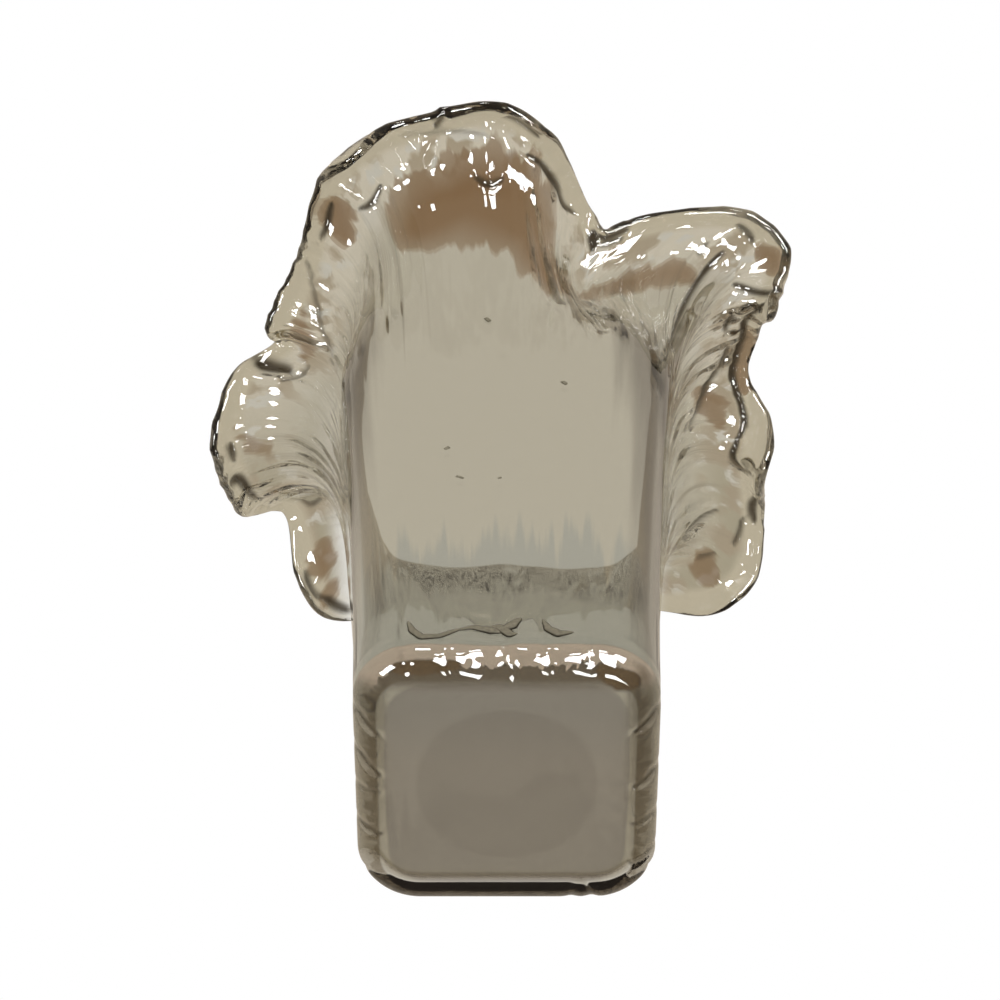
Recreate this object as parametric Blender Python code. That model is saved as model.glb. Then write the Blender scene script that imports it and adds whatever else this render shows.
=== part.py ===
"""Blown glass vase: a square, mould-blown body that opens into a wide ruffled mouth.

The vase is one piece of glass. Its skin is a grid of points: columns run round the vase and
rows run from the middle of the underside, up the outside, over the lip and down the inside.
"""

import math

import bpy
import numpy as np

# Body, square in plan with rounded corners
BASE_WIDTH = 0.100
CORNER_RADIUS = 0.021
FOOT_FILLET = 0.0084
SHOULDER_HEIGHT = 0.190
SHOULDER_SPREAD = 0.0135
SHOULDER_SOFTENING = 0.004
SPREAD_POWER = 1.4

# Underside, with a shallow round kick-up left by the mould
KICK_UP_RADIUS = 0.029
KICK_UP_DEPTH = 0.003

# Glass
FLOOR_THICKNESS = 0.009
WALL_THICKNESS = 0.0036
LIP_THICKNESS = 0.0046
WELL_FILLET = 0.008

# Mouth, measured at the crest of the flare, where its edge begins to turn over
MOUTH_HEIGHT = 0.298
MOUTH_REACH = 0.110
WALL_PULL = 0.120
LIP_PULL = 0.085
TURNED_EDGE_RADIUS = 0.009

# The ruffled lip, round the mouth from the right-hand side by way of the back: bearing at the
# shoulder, bearing at the lip (degrees), millimetres beyond the mouth's reach, millimetres
# above the mouth's height, how steeply the glass still climbs there (degrees), and how many
# millimetres of its edge are turned over
RUFFLES = (
    (0, 0, -12, 3, 25, 6),
    (9, 9, -5, -3, 5, 9),
    (17, 17, -2, -12, -15, 13),
    (25, 25, 5, -6, 5, 9),
    (33, 33, 18, -4, 15, 7),
    (41, 41, 27, -10, -5, 8),
    (49, 49, 23, -12, -10, 9),
    (58, 58, 19, -1, 20, 7),
    (70, 70, 13, 3, 25, 6),
    (82, 82, 8, -5, 5, 8),
    (93, 93, 7, -7, -5, 10),
    (104, 104, 9, 0, 20, 8),
    (114, 114, 14, 3, 20, 6),
    (123, 123, 18, -8, -5, 8),
    (132, 132, 14, -11, -10, 9),
    (141, 141, 4, -2, 20, 7),
    (148, 148, 4, 0, 20, 6),
    (155, 154, 9, -14, -5, 8),
    (162, 162, 7, -23, -15, 9),
    (171, 171, 6, -26, -15, 10),
    (178, 179, 2, -19, -5, 8),
    (184, 185, -4, -9, 10, 6),
    (190, 189, -16, 1, 30, 5),
    (197, 195, -16, -4, 10, 9),
    (205, 203, -17, 1, 20, 9),
    (215, 214, -14, 0, 15, 7),
    (223, 223, -8, -3, 5, 8),
    (231, 231, 1, -3, 0, 9),
    (239, 239, 6, -4, -10, 16),
    (247, 247, 6, 1, 0, 9),
    (256, 256, 5, 2, 5, 8),
    (266, 266, 6, 3, 5, 10),
    (276, 275, -1, -1, 10, 10),
    (285, 283, -16, 2, 25, 8),
    (294, 293, -31, 5, 45, 6),
    (301, 301, -36, -1, 30, 6),
    (308, 308, -28, 2, 25, 7),
    (316, 316, -9, 2, 15, 7),
    (324, 323, 9, -2, 0, 9),
    (331, 331, 15, -5, -10, 10),
    (337, 337, 5, -12, -20, 13),
    (344, 343, -5, -6, 0, 8),
    (352, 351, -7, 2, 20, 5),
)

# Smoothness of the grid
COLUMNS = 108
FLARE_ROWS = 11
WALL_ROWS = 4
FILLET_ROWS = 4
TURNED_ROWS = 3
LIP_ROWS = 4
KICK_UP_ROWS = 3

GLASS_COLOUR = (0.62, 0.56, 0.47, 1.0)
GLASS_ROUGHNESS = 0.03
GLASS_IOR = 1.5


def closed_spline(stations, places):
    """Smooth closed curve through evenly numbered stations, with continuous bend."""
    count = len(stations)
    ring = np.eye(count)
    system = 4 * ring + np.roll(ring, 1, axis=0) + np.roll(ring, -1, axis=0)
    ahead = np.roll(stations, -1, axis=0)
    slopes = np.linalg.solve(system, 3 * (ahead - np.roll(stations, 1, axis=0)))
    first = np.floor(places).astype(int) % count
    second = (first + 1) % count
    part = (places - np.floor(places))[:, None]
    return (
        stations[first] * (2 * part**3 - 3 * part**2 + 1)
        + slopes[first] * (part**3 - 2 * part**2 + part)
        + stations[second] * (3 * part**2 - 2 * part**3)
        + slopes[second] * (part**3 - part**2)
    )


def rounded_square(bearing, half_width, corner):
    """Where a rounded square meets rays at the given bearings, as x and y."""
    across = np.abs(np.cos(bearing))
    along = np.abs(np.sin(bearing))
    middle = half_width - corner
    flat = half_width / np.maximum(across, along)
    inside_root = np.maximum(corner**2 - middle**2 * (across - along) ** 2, 0)
    turned = middle * (across + along) + np.sqrt(inside_root)
    on_corner = np.minimum(across, along) * flat > middle
    reach = np.where(on_corner, turned, flat)
    return np.stack([reach * np.cos(bearing), reach * np.sin(bearing)], axis=-1)


def half_width_at(height):
    """Half the body's outer width, which opens faster and faster towards the shoulder."""
    return BASE_WIDTH / 2 + SHOULDER_SPREAD * (height / SHOULDER_HEIGHT) ** SPREAD_POWER


def corner_at(height):
    """Radius of the body's upright corners, softer towards the shoulder."""
    return CORNER_RADIUS + SHOULDER_SOFTENING * height / SHOULDER_HEIGHT


def ring(bearing, half_width, corner, height):
    """One level row of the body."""
    plan = rounded_square(bearing, half_width, corner)
    return np.column_stack([plan, np.full(len(plan), height)])


def mouth_lip(places):
    """The flare's crest: bearings at the shoulder, points, way the glass runs, turned edge."""
    ruffles = np.array(RUFFLES, dtype=float)
    shoulder_bearing = np.radians(ruffles[:, 0])
    lip_bearing = np.radians(ruffles[:, 1])
    reach = MOUTH_REACH + ruffles[:, 2] / 1000
    climb = np.radians(ruffles[:, 4])
    numbers = np.arange(len(ruffles)) * math.tau / len(ruffles)
    stations = np.column_stack(
        [
            shoulder_bearing - numbers,
            reach * np.cos(lip_bearing),
            reach * np.sin(lip_bearing),
            MOUTH_HEIGHT + ruffles[:, 3] / 1000,
            np.cos(climb) * np.cos(lip_bearing),
            np.cos(climb) * np.sin(lip_bearing),
            np.sin(climb),
            ruffles[:, 5] / 1000,
        ]
    )
    smooth = closed_spline(stations, places)
    bearing = smooth[:, 0] + places * math.tau / len(ruffles)
    return bearing, smooth[:, 1:4], smooth[:, 4:7], smooth[:, 7:]


def outer_skin(places):
    """Rows of the outside from the top of the foot fillet to the lip."""
    bearing, lip, lip_run, turned_edge = mouth_lip(places)
    well_top = FLOOR_THICKNESS + WELL_FILLET
    rows = [ring(bearing, half_width_at(FOOT_FILLET), corner_at(FOOT_FILLET), FOOT_FILLET)]
    for step in range(WALL_ROWS):
        height = well_top + (SHOULDER_HEIGHT - well_top) * step / WALL_ROWS
        rows.append(ring(bearing, half_width_at(height), corner_at(height), height))
    shoulder = ring(
        bearing, half_width_at(SHOULDER_HEIGHT), corner_at(SHOULDER_HEIGHT), SHOULDER_HEIGHT
    )
    outward = shoulder[:, :2] / (BASE_WIDTH / 2 + SHOULDER_SPREAD)
    slope = SHOULDER_SPREAD * SPREAD_POWER / SHOULDER_HEIGHT
    shoulder_run = np.column_stack([outward * slope, np.ones(len(places))])
    for step in range(FLARE_ROWS + 1):
        part = step / FLARE_ROWS
        rows.append(
            shoulder * (1 - 10 * part**3 + 15 * part**4 - 6 * part**5)
            + shoulder_run * WALL_PULL * (part - 6 * part**3 + 8 * part**4 - 3 * part**5)
            + lip * (10 * part**3 - 15 * part**4 + 6 * part**5)
            + lip_run * LIP_PULL * (7 * part**4 - 4 * part**3 - 3 * part**5)
        )

    # The edge rolls over from the crest, towards the outside
    over = outward_normals(np.array(rows[-2:]))[-1]
    lip_run = lip_run - over * np.sum(lip_run * over, axis=1, keepdims=True)
    lip_run /= np.linalg.norm(lip_run, axis=1, keepdims=True)
    for step in range(TURNED_ROWS):
        turn = turned_edge / TURNED_EDGE_RADIUS * (step + 1) / TURNED_ROWS
        rolled = np.sin(turn) * lip_run + (1 - np.cos(turn)) * over
        rows.append(lip + TURNED_EDGE_RADIUS * rolled)
    return bearing, np.array(rows)


def outward_normals(rows):
    """Unit normals of the grid, from its neighbours in both directions."""
    round_ways = np.roll(rows, -1, axis=1) - np.roll(rows, 1, axis=1)
    up_ways = np.gradient(rows, axis=0)
    normals = np.cross(round_ways, up_ways)
    return normals / np.linalg.norm(normals, axis=-1, keepdims=True)


def vase_rows():
    """Every row of the vase's skin, from the underside's rim to the well's floor."""
    places = np.arange(COLUMNS) * len(RUFFLES) / COLUMNS
    bearing, outside = outer_skin(places)
    rows = []

    # Kick-up and foot fillet
    kick_up = np.column_stack([np.cos(bearing), np.sin(bearing)])
    for step in range(KICK_UP_ROWS):
        part = (step + 1) / KICK_UP_ROWS
        level = KICK_UP_DEPTH * math.cos(part * math.pi / 2)
        rows.append(np.column_stack([kick_up * KICK_UP_RADIUS * part, np.full(COLUMNS, level)]))
    rows[-1][:, 2] = 0
    foot_width = half_width_at(FOOT_FILLET)
    foot_corner = corner_at(FOOT_FILLET)
    for step in range(FILLET_ROWS):
        turn = step / FILLET_ROWS * math.pi / 2
        inset = FOOT_FILLET * (1 - math.sin(turn))
        level = FOOT_FILLET * (1 - math.cos(turn))
        rows.append(ring(bearing, foot_width - inset, foot_corner - inset, level))

    # Outside, lip and inside
    rows.extend(outside)
    normals = outward_normals(outside)
    flare = np.linspace(0, 1, FLARE_ROWS + TURNED_ROWS + 1)
    thickness = np.full(len(outside), WALL_THICKNESS)
    thickness[-len(flare):] += (LIP_THICKNESS - WALL_THICKNESS) * flare**4
    inside = outside - normals * thickness[:, None, None]
    lip_middle = (outside[-1] + inside[-1]) / 2
    lip_radius = LIP_THICKNESS / 2
    edge_run = outside[-1] - outside[-2]
    edge_run /= np.linalg.norm(edge_run, axis=-1, keepdims=True)
    for step in range(1, LIP_ROWS):
        turn = step / LIP_ROWS * math.pi
        bead = math.cos(turn) * normals[-1] + math.sin(turn) * edge_run
        rows.append(lip_middle + lip_radius * bead)
    rows.extend(inside[:0:-1])

    # Corner and floor of the well
    well_top = FLOOR_THICKNESS + WELL_FILLET
    well_width = half_width_at(well_top) - WALL_THICKNESS
    well_corner = corner_at(well_top) - WALL_THICKNESS
    for step in range(1, FILLET_ROWS + 1):
        turn = step / FILLET_ROWS * math.pi / 2
        inset = WELL_FILLET * (1 - math.cos(turn))
        level = well_top - WELL_FILLET * math.sin(turn)
        rows.append(ring(bearing, well_width - inset, well_corner - inset, level))
    return rows


def vase_mesh():
    """Joins the rows into one closed skin with a pole under the foot and one in the well."""
    rows = vase_rows()
    points = np.vstack(rows)
    centre = (points.min(axis=0) + points.max(axis=0)) / 2
    foot_pole = len(points)
    well_pole = foot_pole + 1
    points = np.vstack([points, (0, 0, KICK_UP_DEPTH), (0, 0, FLOOR_THICKNESS)])
    points[:, :2] -= centre[:2]
    faces = []
    for column in range(COLUMNS):
        beside = (column + 1) % COLUMNS
        faces.append((foot_pole, beside, column))
        for row in range(len(rows) - 1):
            low = row * COLUMNS
            high = low + COLUMNS
            faces.append((low + column, low + beside, high + beside, high + column))
        last = (len(rows) - 1) * COLUMNS
        faces.append((last + column, last + beside, well_pole))
    mesh = bpy.data.meshes.new("vase")
    mesh.from_pydata(points.tolist(), [], faces)
    mesh.update()
    mesh.shade_smooth()
    return mesh


def smoked_glass():
    """Thin smoky champagne glass, fire-polished."""
    material = bpy.data.materials.new("smoked_glass")
    material.use_nodes = True
    shader = material.node_tree.nodes["Principled BSDF"]
    shader.inputs["Base Color"].default_value = GLASS_COLOUR
    shader.inputs["Roughness"].default_value = GLASS_ROUGHNESS
    shader.inputs["Metallic"].default_value = 0.0
    shader.inputs["Transmission Weight"].default_value = 1.0
    shader.inputs["IOR"].default_value = GLASS_IOR
    material.diffuse_color = GLASS_COLOUR
    return material


for leftover in list(bpy.data.objects):
    bpy.data.objects.remove(leftover)

vase = bpy.data.objects.new("vase", vase_mesh())
bpy.context.scene.collection.objects.link(vase)
vase.data.materials.append(smoked_glass())
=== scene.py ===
"""A blown, ruffled glass vase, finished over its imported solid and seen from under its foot."""

import math

import bpy
import numpy as np
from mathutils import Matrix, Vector


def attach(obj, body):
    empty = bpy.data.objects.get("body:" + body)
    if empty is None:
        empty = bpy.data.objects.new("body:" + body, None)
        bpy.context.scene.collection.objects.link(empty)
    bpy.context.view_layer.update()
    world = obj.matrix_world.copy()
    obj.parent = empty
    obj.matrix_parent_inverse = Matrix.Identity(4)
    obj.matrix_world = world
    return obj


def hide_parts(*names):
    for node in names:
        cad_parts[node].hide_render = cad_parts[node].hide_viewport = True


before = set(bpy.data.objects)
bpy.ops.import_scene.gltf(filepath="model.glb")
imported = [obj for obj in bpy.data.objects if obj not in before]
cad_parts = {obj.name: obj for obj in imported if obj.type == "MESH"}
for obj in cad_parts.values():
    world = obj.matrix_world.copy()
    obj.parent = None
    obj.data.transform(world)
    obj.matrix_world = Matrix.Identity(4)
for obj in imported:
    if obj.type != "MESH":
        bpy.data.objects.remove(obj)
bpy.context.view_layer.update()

# The vase is one bubble of glass, blown into a square mould and opened hot into a ruffled mouth.
# Its wall is about 4 mm thick and turns over at the lip, which is fire-polished to a round bead.
# Columns of the skin run up the vase, and rows run round it.
BASE_WIDTH = 0.100
CORNER_RADIUS = 0.021
FOOT_FILLET = 0.0084
SHOULDER_HEIGHT = 0.190
SHOULDER_SPREAD = 0.0135
SHOULDER_SOFTENING = 0.004
SPREAD_POWER = 1.4
KICK_UP_RADIUS = 0.029
KICK_UP_DEPTH = 0.003
FLOOR_THICKNESS = 0.009
WALL_THICKNESS = 0.0036
LIP_THICKNESS = 0.0046
WELL_FILLET = 0.008
MOUTH_HEIGHT = 0.298
MOUTH_REACH = 0.110
WALL_PULL = 0.120
LIP_PULL = 0.085
TURNED_EDGE_RADIUS = 0.009

# The ruffled lip, round the mouth from the right-hand side by way of the back: bearing at the
# shoulder, bearing at the lip (degrees), millimetres beyond the mouth's reach, millimetres
# above the mouth's height, how steeply the glass still climbs there (degrees), and how many
# millimetres of its edge are turned over
RUFFLES = (
    (0, 0, -12, 3, 25, 6),
    (9, 9, -5, -3, 5, 9),
    (17, 17, -2, -12, -15, 13),
    (25, 25, 5, -6, 5, 9),
    (33, 33, 18, -4, 15, 7),
    (41, 41, 27, -10, -5, 8),
    (49, 49, 23, -12, -10, 9),
    (58, 58, 19, -1, 20, 7),
    (70, 70, 13, 3, 25, 6),
    (82, 82, 8, -5, 5, 8),
    (93, 93, 7, -7, -5, 10),
    (104, 104, 9, 0, 20, 8),
    (114, 114, 14, 3, 20, 6),
    (123, 123, 18, -8, -5, 8),
    (132, 132, 14, -11, -10, 9),
    (141, 141, 4, -2, 20, 7),
    (148, 148, 4, 0, 20, 6),
    (155, 154, 9, -14, -5, 8),
    (162, 162, 7, -23, -15, 9),
    (171, 171, 6, -26, -15, 10),
    (178, 179, 2, -19, -5, 8),
    (184, 185, -4, -9, 10, 6),
    (190, 189, -16, 1, 30, 5),
    (197, 195, -16, -4, 10, 9),
    (205, 203, -17, 1, 20, 9),
    (215, 214, -14, 0, 15, 7),
    (223, 223, -8, -3, 5, 8),
    (231, 231, 1, -3, 0, 9),
    (239, 239, 6, -4, -10, 16),
    (247, 247, 6, 1, 0, 9),
    (256, 256, 5, 2, 5, 8),
    (266, 266, 6, 3, 5, 10),
    (276, 275, -1, -1, 10, 10),
    (285, 283, -16, 2, 25, 8),
    (294, 293, -31, 5, 45, 6),
    (301, 301, -36, -1, 30, 6),
    (308, 308, -28, 2, 25, 7),
    (316, 316, -9, 2, 15, 7),
    (324, 323, 9, -2, 0, 9),
    (331, 331, 15, -5, -10, 10),
    (337, 337, 5, -12, -20, 13),
    (344, 343, -5, -6, 0, 8),
    (352, 351, -7, 2, 20, 5),
)

# Folds pressed into the hot flare: each runs over spots on the skin, given as ruffles round the mouth
# and shares of the way from shoulder to crest (1 at the crest, 1.2 at the bead), then its half width
# and how deep it sinks (millimetres, negative where it stands proud), and how dark it is painted
# there, for its thick glass and the painted shade in its crease
FOLDS = (
    (((29.2, 1.11), (29.9, 1.03), (30.8, 0.96), (31.2, 0.95)), 1.6, 0.7, 0.55),
    (((30.3, 1.16), (30.8, 1.18), (31.4, 1.17)), 2.4, -2.0, 0.0),
    (((30.0, 1.1), (30.2, 1.2)), 2.0, 1.2, 0.9),
    (((31.4, 1.12), (32.2, 1.15)), 2.0, 1.2, 0.9),
    (((31.6, 1.03), (31.9, 0.97)), 2.6, -1.8, 0.0),
    (((29.8, 0.99), (29.6, 0.92)), 2.4, -1.6, 0.1),
    (((32.0, 0.95), (32.5, 0.99), (33.1, 1.0), (33.4, 0.97), (33.8, 1.0)), 2, 1.7, 1.0),
    (((27.1, 1.08), (27.4, 0.98), (27.65, 0.84)), 4.2, -3.2, 0.0),
    (((27.3, 0.86), (27.7, 0.82), (28.2, 0.86)), 2, 1.4, 0.9),
    (((28.3, 1.04), (28.6, 0.89)), 3.2, -2.2, 0.1),
    (((28.8, 1.04), (29.0, 0.91)), 2, 1.4, 0.2),
    (((29.3, 1.06), (29.5, 0.89)), 2.9, -1.9, 0.1),
    (((31.1, 1.02), (31.0, 0.76)), 5.2, -3.2, 0.0),
    (((30.65, 0.77), (31.0, 0.72), (31.35, 0.77)), 2, 1.5, 0.9),
    (((26.75, 1.03), (26.2, 1.02), (25.75, 1.06)), 2, 1.5, 0.9),
    (((24.95, 1.14), (24.5, 1.0), (23.25, 0.83), (22.3, 0.69)), 2, 1.4, 0.6),
    (((32.2, 0.8), (32.75, 0.56), (33.1, 0.36)), 2, 0.8, 0.35),
    (((32.6, 0.8), (33.1, 0.56), (33.4, 0.36)), 2, -1, 0.2),
    (((34.6, 1.12), (34.9, 0.98)), 2.6, 1.7, 1.0),
    (((34.9, 1.15), (35.4, 1.12), (35.9, 1.17)), 2, 1.4, 0.9),
    (((35.1, 1.03), (35.9, 1.05)), 2, 1.2, 0.7),
    (((34.25, 0.91), (34.25, 0.88)), 4.3, -3.1, 0.0),
    (((34.1, 0.55), (34.7, 0.34), (35.0, 0.2)), 2, 1, 0.5),
    (((38.4, 0.85), (38.44, 0.56), (38.19, 0.31)), 2.3, 2, 0.9),
    (((38.9, 0.8), (38.9, 0.56)), 2.6, -1.5, 0.0),
    (((40.6, 0.94), (41.4, 0.93)), 2.3, 1.7, 0.9),
    (((42.0, 0.94), (42.75, 0.94), (43.44, 0.81), (44.19, 0.67)), 2, 1.7, 0.9),
    (((40.25, 1.09), (41.8, 1.03), (43.62, 1.06), (44.56, 0.97)), 2, 1.9, 1.0),
    (((44.56, 0.97), (45.25, 0.94), (45.4, 1.04), (45.2, 1.12)), 2.2, 2, 1.0),
    (((44.9, 1.04), (45.1, 1.08)), 4.6, -2.7, 0.0),
    (((39.4, 0.83), (39.8, 0.95), (39.94, 1.06), (39.9, 1.2)), 2.6, 2.2, 0.9),
    (((37.9, 0.88), (37.95, 0.8)), 2, 0.8, 0.7),
    (((38.0, 1.05), (38.6, 0.98)), 2, 1, 0.8),
    (((46.1, 1.18), (46.6, 1.1), (46.9, 1.14)), 2.3, 1.5, 0.9),
    (((46.9, 1.0), (47.56, 0.94)), 2, 1.2, 0.8),
    (((46.9, 0.83), (47.3, 0.6), (47.7, 0.5)), 2.3, 1.7, 0.8),
    (((48.0, 0.86), (48.4, 0.8)), 2, 1, 0.7),
    (((21.25, 1.1), (21.31, 0.9)), 4.9, 2.4, 1.0),
    (((20.8, 0.86), (21.2, 0.8), (21.7, 0.84)), 2.2, 1.5, 0.7),
    (((19.06, 1.06), (18.62, 1.06)), 2, 1, 1.0),
    (((18.1, 1.16), (18.12, 1.06), (17.06, 1.03)), 2.9, 1.9, 0.9),
    (((16.1, 0.97), (15.4, 0.96), (15.6, 0.83)), 2, 1.4, 0.7),
    (((14.25, 1.13), (13.94, 1.16), (13.56, 1.1)), 2.3, 1.5, 0.8),
    (((13.5, 1.08), (12.9, 1.13)), 3.2, 1.5, 0.8),
)

# Marks on the foot, written as the folds are. Their shares fall from -1 at the foot of the wall
# to -1.2 at the edge of the flat and -1.4 in its middle: a facet at each front corner, then
# three scratches.
FOOT_MARKS = (
    (((30.3, -1.11), (30.7, -1.12), (31.1, -1.12)), 6.0, 2.1, 0.0),
    (((34.8, -1.112), (35.7, -1.11), (36.9, -1.1)), 4.8, 1.2, 0.0),
    (((42.6, -1.2), (42.5, -1.31)), 2, 0.35, 0.15),
    (((1.1, -1.2), (1.0, -1.32)), 2, 0.35, 0.15),
    (((2.8, -1.2), (2.7, -1.3)), 2, 0.3, 0.15),
)

# Chill wrinkles over the foot's rounded edge, where the glass met the cold mould: the side as a
# bearing, then where each starts on the wall and ends on the underside along that side, its depth
# (millimetres) and how dark its painted shade is
WRINKLES = (
    (180, 33, 20, 0.7, 0.8),
    (180, 17, 4, 0.8, 0.9),
    (180, -2, -3, 0.6, 0.6),
    (180, -15, -20, 0.7, 0.9),
    (180, -37, -37, 0.5, 0.5),
    (0, -33, -21, 0.7, 0.9),
    (0, -8, 1, 0.7, 0.9),
    (0, 12, 16, 0.6, 0.8),
    (0, 26, 32, 0.7, 0.9),
    (0, 35, 39, 0.6, 0.8),
    (270, -34, -30, 0.6, 0.3),
    (270, -22, -17, 0.7, 0.2),
    (270, -3, 3, 0.9, 0.2),
    (270, 11, 16, 0.9, 0.3),
    (270, 25, 29, 0.4, 0.3),
    (90, -31, -26, 0.9, 0.8),
    (90, -20, -24, 0.6, 0.5),
)
WRINKLE_HALF_WIDTH = 0.0018

# Painted shade at the two front corners of the foot, where the well's fillet shows dark through the
# glass: spots near the ground (millimetres to the right and back), half width (millimetres) and how
# dark
FILLET_SHADE_SPOTS = (
    (((-36, -45.2), (-30, -45.4), (-24, -45.9), (-16, -46.4)), 2.9, 1.0),
    (((30.5, -44.5), (34, -42), (38, -40.5), (41.5, -41)), 4.4, 1.0),
)
FILLET_SHADE_HEIGHT = 0.001

# Painted reflection: where the flare mirrors a brown room, given as spots as for the folds, then the
# half width (millimetres) and how even it is
BROWN_REFLECTION_PATCHES = (
    (((28.9, 0.62), (29.6, 0.68), (30.3, 0.68)), 20, 1.0),
    (((30.3, 0.70), (31.2, 0.66), (32.2, 0.64)), 26, 1.0),
    (((31.8, 0.66), (33.0, 0.52), (34.2, 0.52)), 17, 0.9),
    (((35.0, 0.62), (36.4, 0.64), (37.4, 0.68), (38.0, 0.68)), 13, 0.7),
    (((26.3, 0.90), (26.8, 1.00)), 10, 0.8),
    (((38.9, 0.98), (39.3, 1.1)), 8, 0.75),
    (((0.2, 0.80), (1.1, 0.88)), 10, 0.6),
    (((41.6, 1.12), (43.4, 1.14)), 5, 0.7),
    (((23.8, 1.00), (22.4, 0.94)), 11, 0.65),
    (((19.4, 1.02), (18.5, 0.86)), 9, 0.48),
    (((14.4, 0.92), (13.4, 1.06)), 12, 0.6),
    (((5.3, 0.80), (5.6, 0.96)), 11, 0.6),
)

# Where the front of the flare stayed smooth between its ripples: spots as for the folds, and
# half width (millimetres)
SMOOTH_PATCHES = (
    (((37.2, 0.84), (38.2, 0.87)), 9),
    (((30.3, 0.80), (30.8, 0.80)), 6),
)

# Shares at the middle of the underside, the edge of its flat, the foot of the wall and the bead
MIDDLE_SHARE = -1.4
FLAT_EDGE_SHARE = -1.2
WALL_FOOT_SHARE = -1.0
BEAD_SHARE = 1.2
PATH_END_WIDTH = 0.6
PATH_SWELL = 0.5
FINE_RIPPLES = 84
FINE_RIPPLE_HEIGHT = 0.0009
BROAD_RIPPLES = 31
BROAD_RIPPLE_HEIGHT = 0.0006
MEAN_RIPPLE = 0.64
COLUMNS_PER_RUFFLE = 11
KICK_UP_ROWS = 6
RING_ROWS = 8
FOOT_ROWS = 10
WALL_ROWS = 20
FLARE_ROWS = 80
TURNED_ROWS = 7
LIP_ROWS = 6
WELL_ROWS = 6
WELL_FLOOR_SHARES = (0.97, 0.6, 0.2)
INSIDE_START = -0.96
LIP_THICKENING = 4
INSIDE_SHARE_OF_RELIEF = 0.5


def closed_spline(stations, places):
    """Cubic through evenly numbered stations, with one bend throughout, read at the places."""
    count = len(stations)
    circle = np.eye(count)
    system = 4 * circle + np.roll(circle, 1, axis=0) + np.roll(circle, -1, axis=0)
    ahead = np.roll(stations, -1, axis=0)
    slopes = np.linalg.solve(system, 3 * (ahead - np.roll(stations, 1, axis=0)))
    first = np.floor(places).astype(int) % count
    second = (first + 1) % count
    part = (places - np.floor(places))[:, None]
    return (
        stations[first] * (2 * part**3 - 3 * part**2 + 1)
        + slopes[first] * (part**3 - 2 * part**2 + part)
        + stations[second] * (3 * part**2 - 2 * part**3)
        + slopes[second] * (part**3 - part**2)
    )


def level_rings(bearing, half_width, corner, height):
    """Rounded squares, one row each: a ray meets a flat at half width over its larger cosine,
    or the corner's circle where the smaller one carries it past the flat's end."""
    across = np.abs(np.cos(bearing))
    along = np.abs(np.sin(bearing))
    half_width = np.reshape(half_width, (-1, 1))
    corner = np.reshape(corner, (-1, 1))
    middle = half_width - corner
    flat = half_width / np.maximum(across, along)
    root = np.maximum(corner**2 - middle**2 * (across - along) ** 2, 0)
    turned = middle * (across + along) + np.sqrt(root)
    reach = np.where(np.minimum(across, along) * flat > middle, turned, flat)
    height = np.broadcast_to(np.reshape(height, (-1, 1)), reach.shape)
    return np.stack([reach * np.cos(bearing), reach * np.sin(bearing), height], axis=-1)


def half_width_at(height):
    """Half the outer width, which grows as a power of the height."""
    return BASE_WIDTH / 2 + SHOULDER_SPREAD * (height / SHOULDER_HEIGHT) ** SPREAD_POWER


def corner_at(height):
    """Corner radius, which grows evenly with the height."""
    return CORNER_RADIUS + SHOULDER_SOFTENING * height / SHOULDER_HEIGHT


def outward_normals(rows):
    """Cross product of the steps round and the steps up, made unit length."""
    round_ways = np.roll(rows, -1, axis=1) - np.roll(rows, 1, axis=1)
    normals = np.cross(round_ways, np.gradient(rows, axis=0))
    return normals / np.linalg.norm(normals, axis=-1, keepdims=True)


def lip_line(places):
    """Splines through the ruffles: bearings at the shoulder, crest, way of the glass, turned edge."""
    ruffles = np.array(RUFFLES, dtype=float)
    shoulder_bearing, lip_bearing, climb = np.radians(ruffles[:, [0, 1, 4]]).T
    reach = MOUTH_REACH + ruffles[:, 2] / 1000
    numbers = np.arange(len(ruffles)) * math.tau / len(ruffles)
    stations = np.column_stack(
        [
            shoulder_bearing - numbers,
            reach * np.cos(lip_bearing),
            reach * np.sin(lip_bearing),
            MOUTH_HEIGHT + ruffles[:, 3] / 1000,
            np.cos(climb) * np.cos(lip_bearing),
            np.cos(climb) * np.sin(lip_bearing),
            np.sin(climb),
            ruffles[:, 5] / 1000,
        ]
    )
    smooth = closed_spline(stations, places)
    bearing = smooth[:, 0] + places * math.tau / len(ruffles)
    return bearing, smooth[:, 1:4], smooth[:, 4:7], smooth[:, 7:]


def flare_rows(bearing, lip, lip_run, part):
    """Quintic from shoulder to crest that leaves with the wall's run and arrives with the lip's,
    bent by neither end."""
    shoulder = level_rings(
        bearing, half_width_at(SHOULDER_HEIGHT), corner_at(SHOULDER_HEIGHT), SHOULDER_HEIGHT
    )[0]
    slope = SHOULDER_SPREAD * SPREAD_POWER / SHOULDER_HEIGHT
    outward = shoulder[:, :2] / (BASE_WIDTH / 2 + SHOULDER_SPREAD)
    shoulder_run = np.column_stack([outward * slope, np.ones(len(bearing))])
    part = np.reshape(part, (-1, 1, 1))
    return (
        shoulder * (1 - 10 * part**3 + 15 * part**4 - 6 * part**5)
        + shoulder_run * WALL_PULL * (part - 6 * part**3 + 8 * part**4 - 3 * part**5)
        + lip * (10 * part**3 - 15 * part**4 + 6 * part**5)
        + lip_run * LIP_PULL * (7 * part**4 - 4 * part**3 - 3 * part**5)
    )


def turned_rows(lip, lip_run, over, turned_edge):
    """Arc from the crest towards the outside: sine of the turn along, one less cosine over."""
    lip_run = lip_run - over * np.sum(lip_run * over, axis=1, keepdims=True)
    lip_run /= np.linalg.norm(lip_run, axis=1, keepdims=True)
    step = np.linspace(0, 1, TURNED_ROWS + 1)[1:, None, None]
    turn = turned_edge / TURNED_EDGE_RADIUS * step
    return lip + TURNED_EDGE_RADIUS * (np.sin(turn) * lip_run + (1 - np.cos(turn)) * over)


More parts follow.
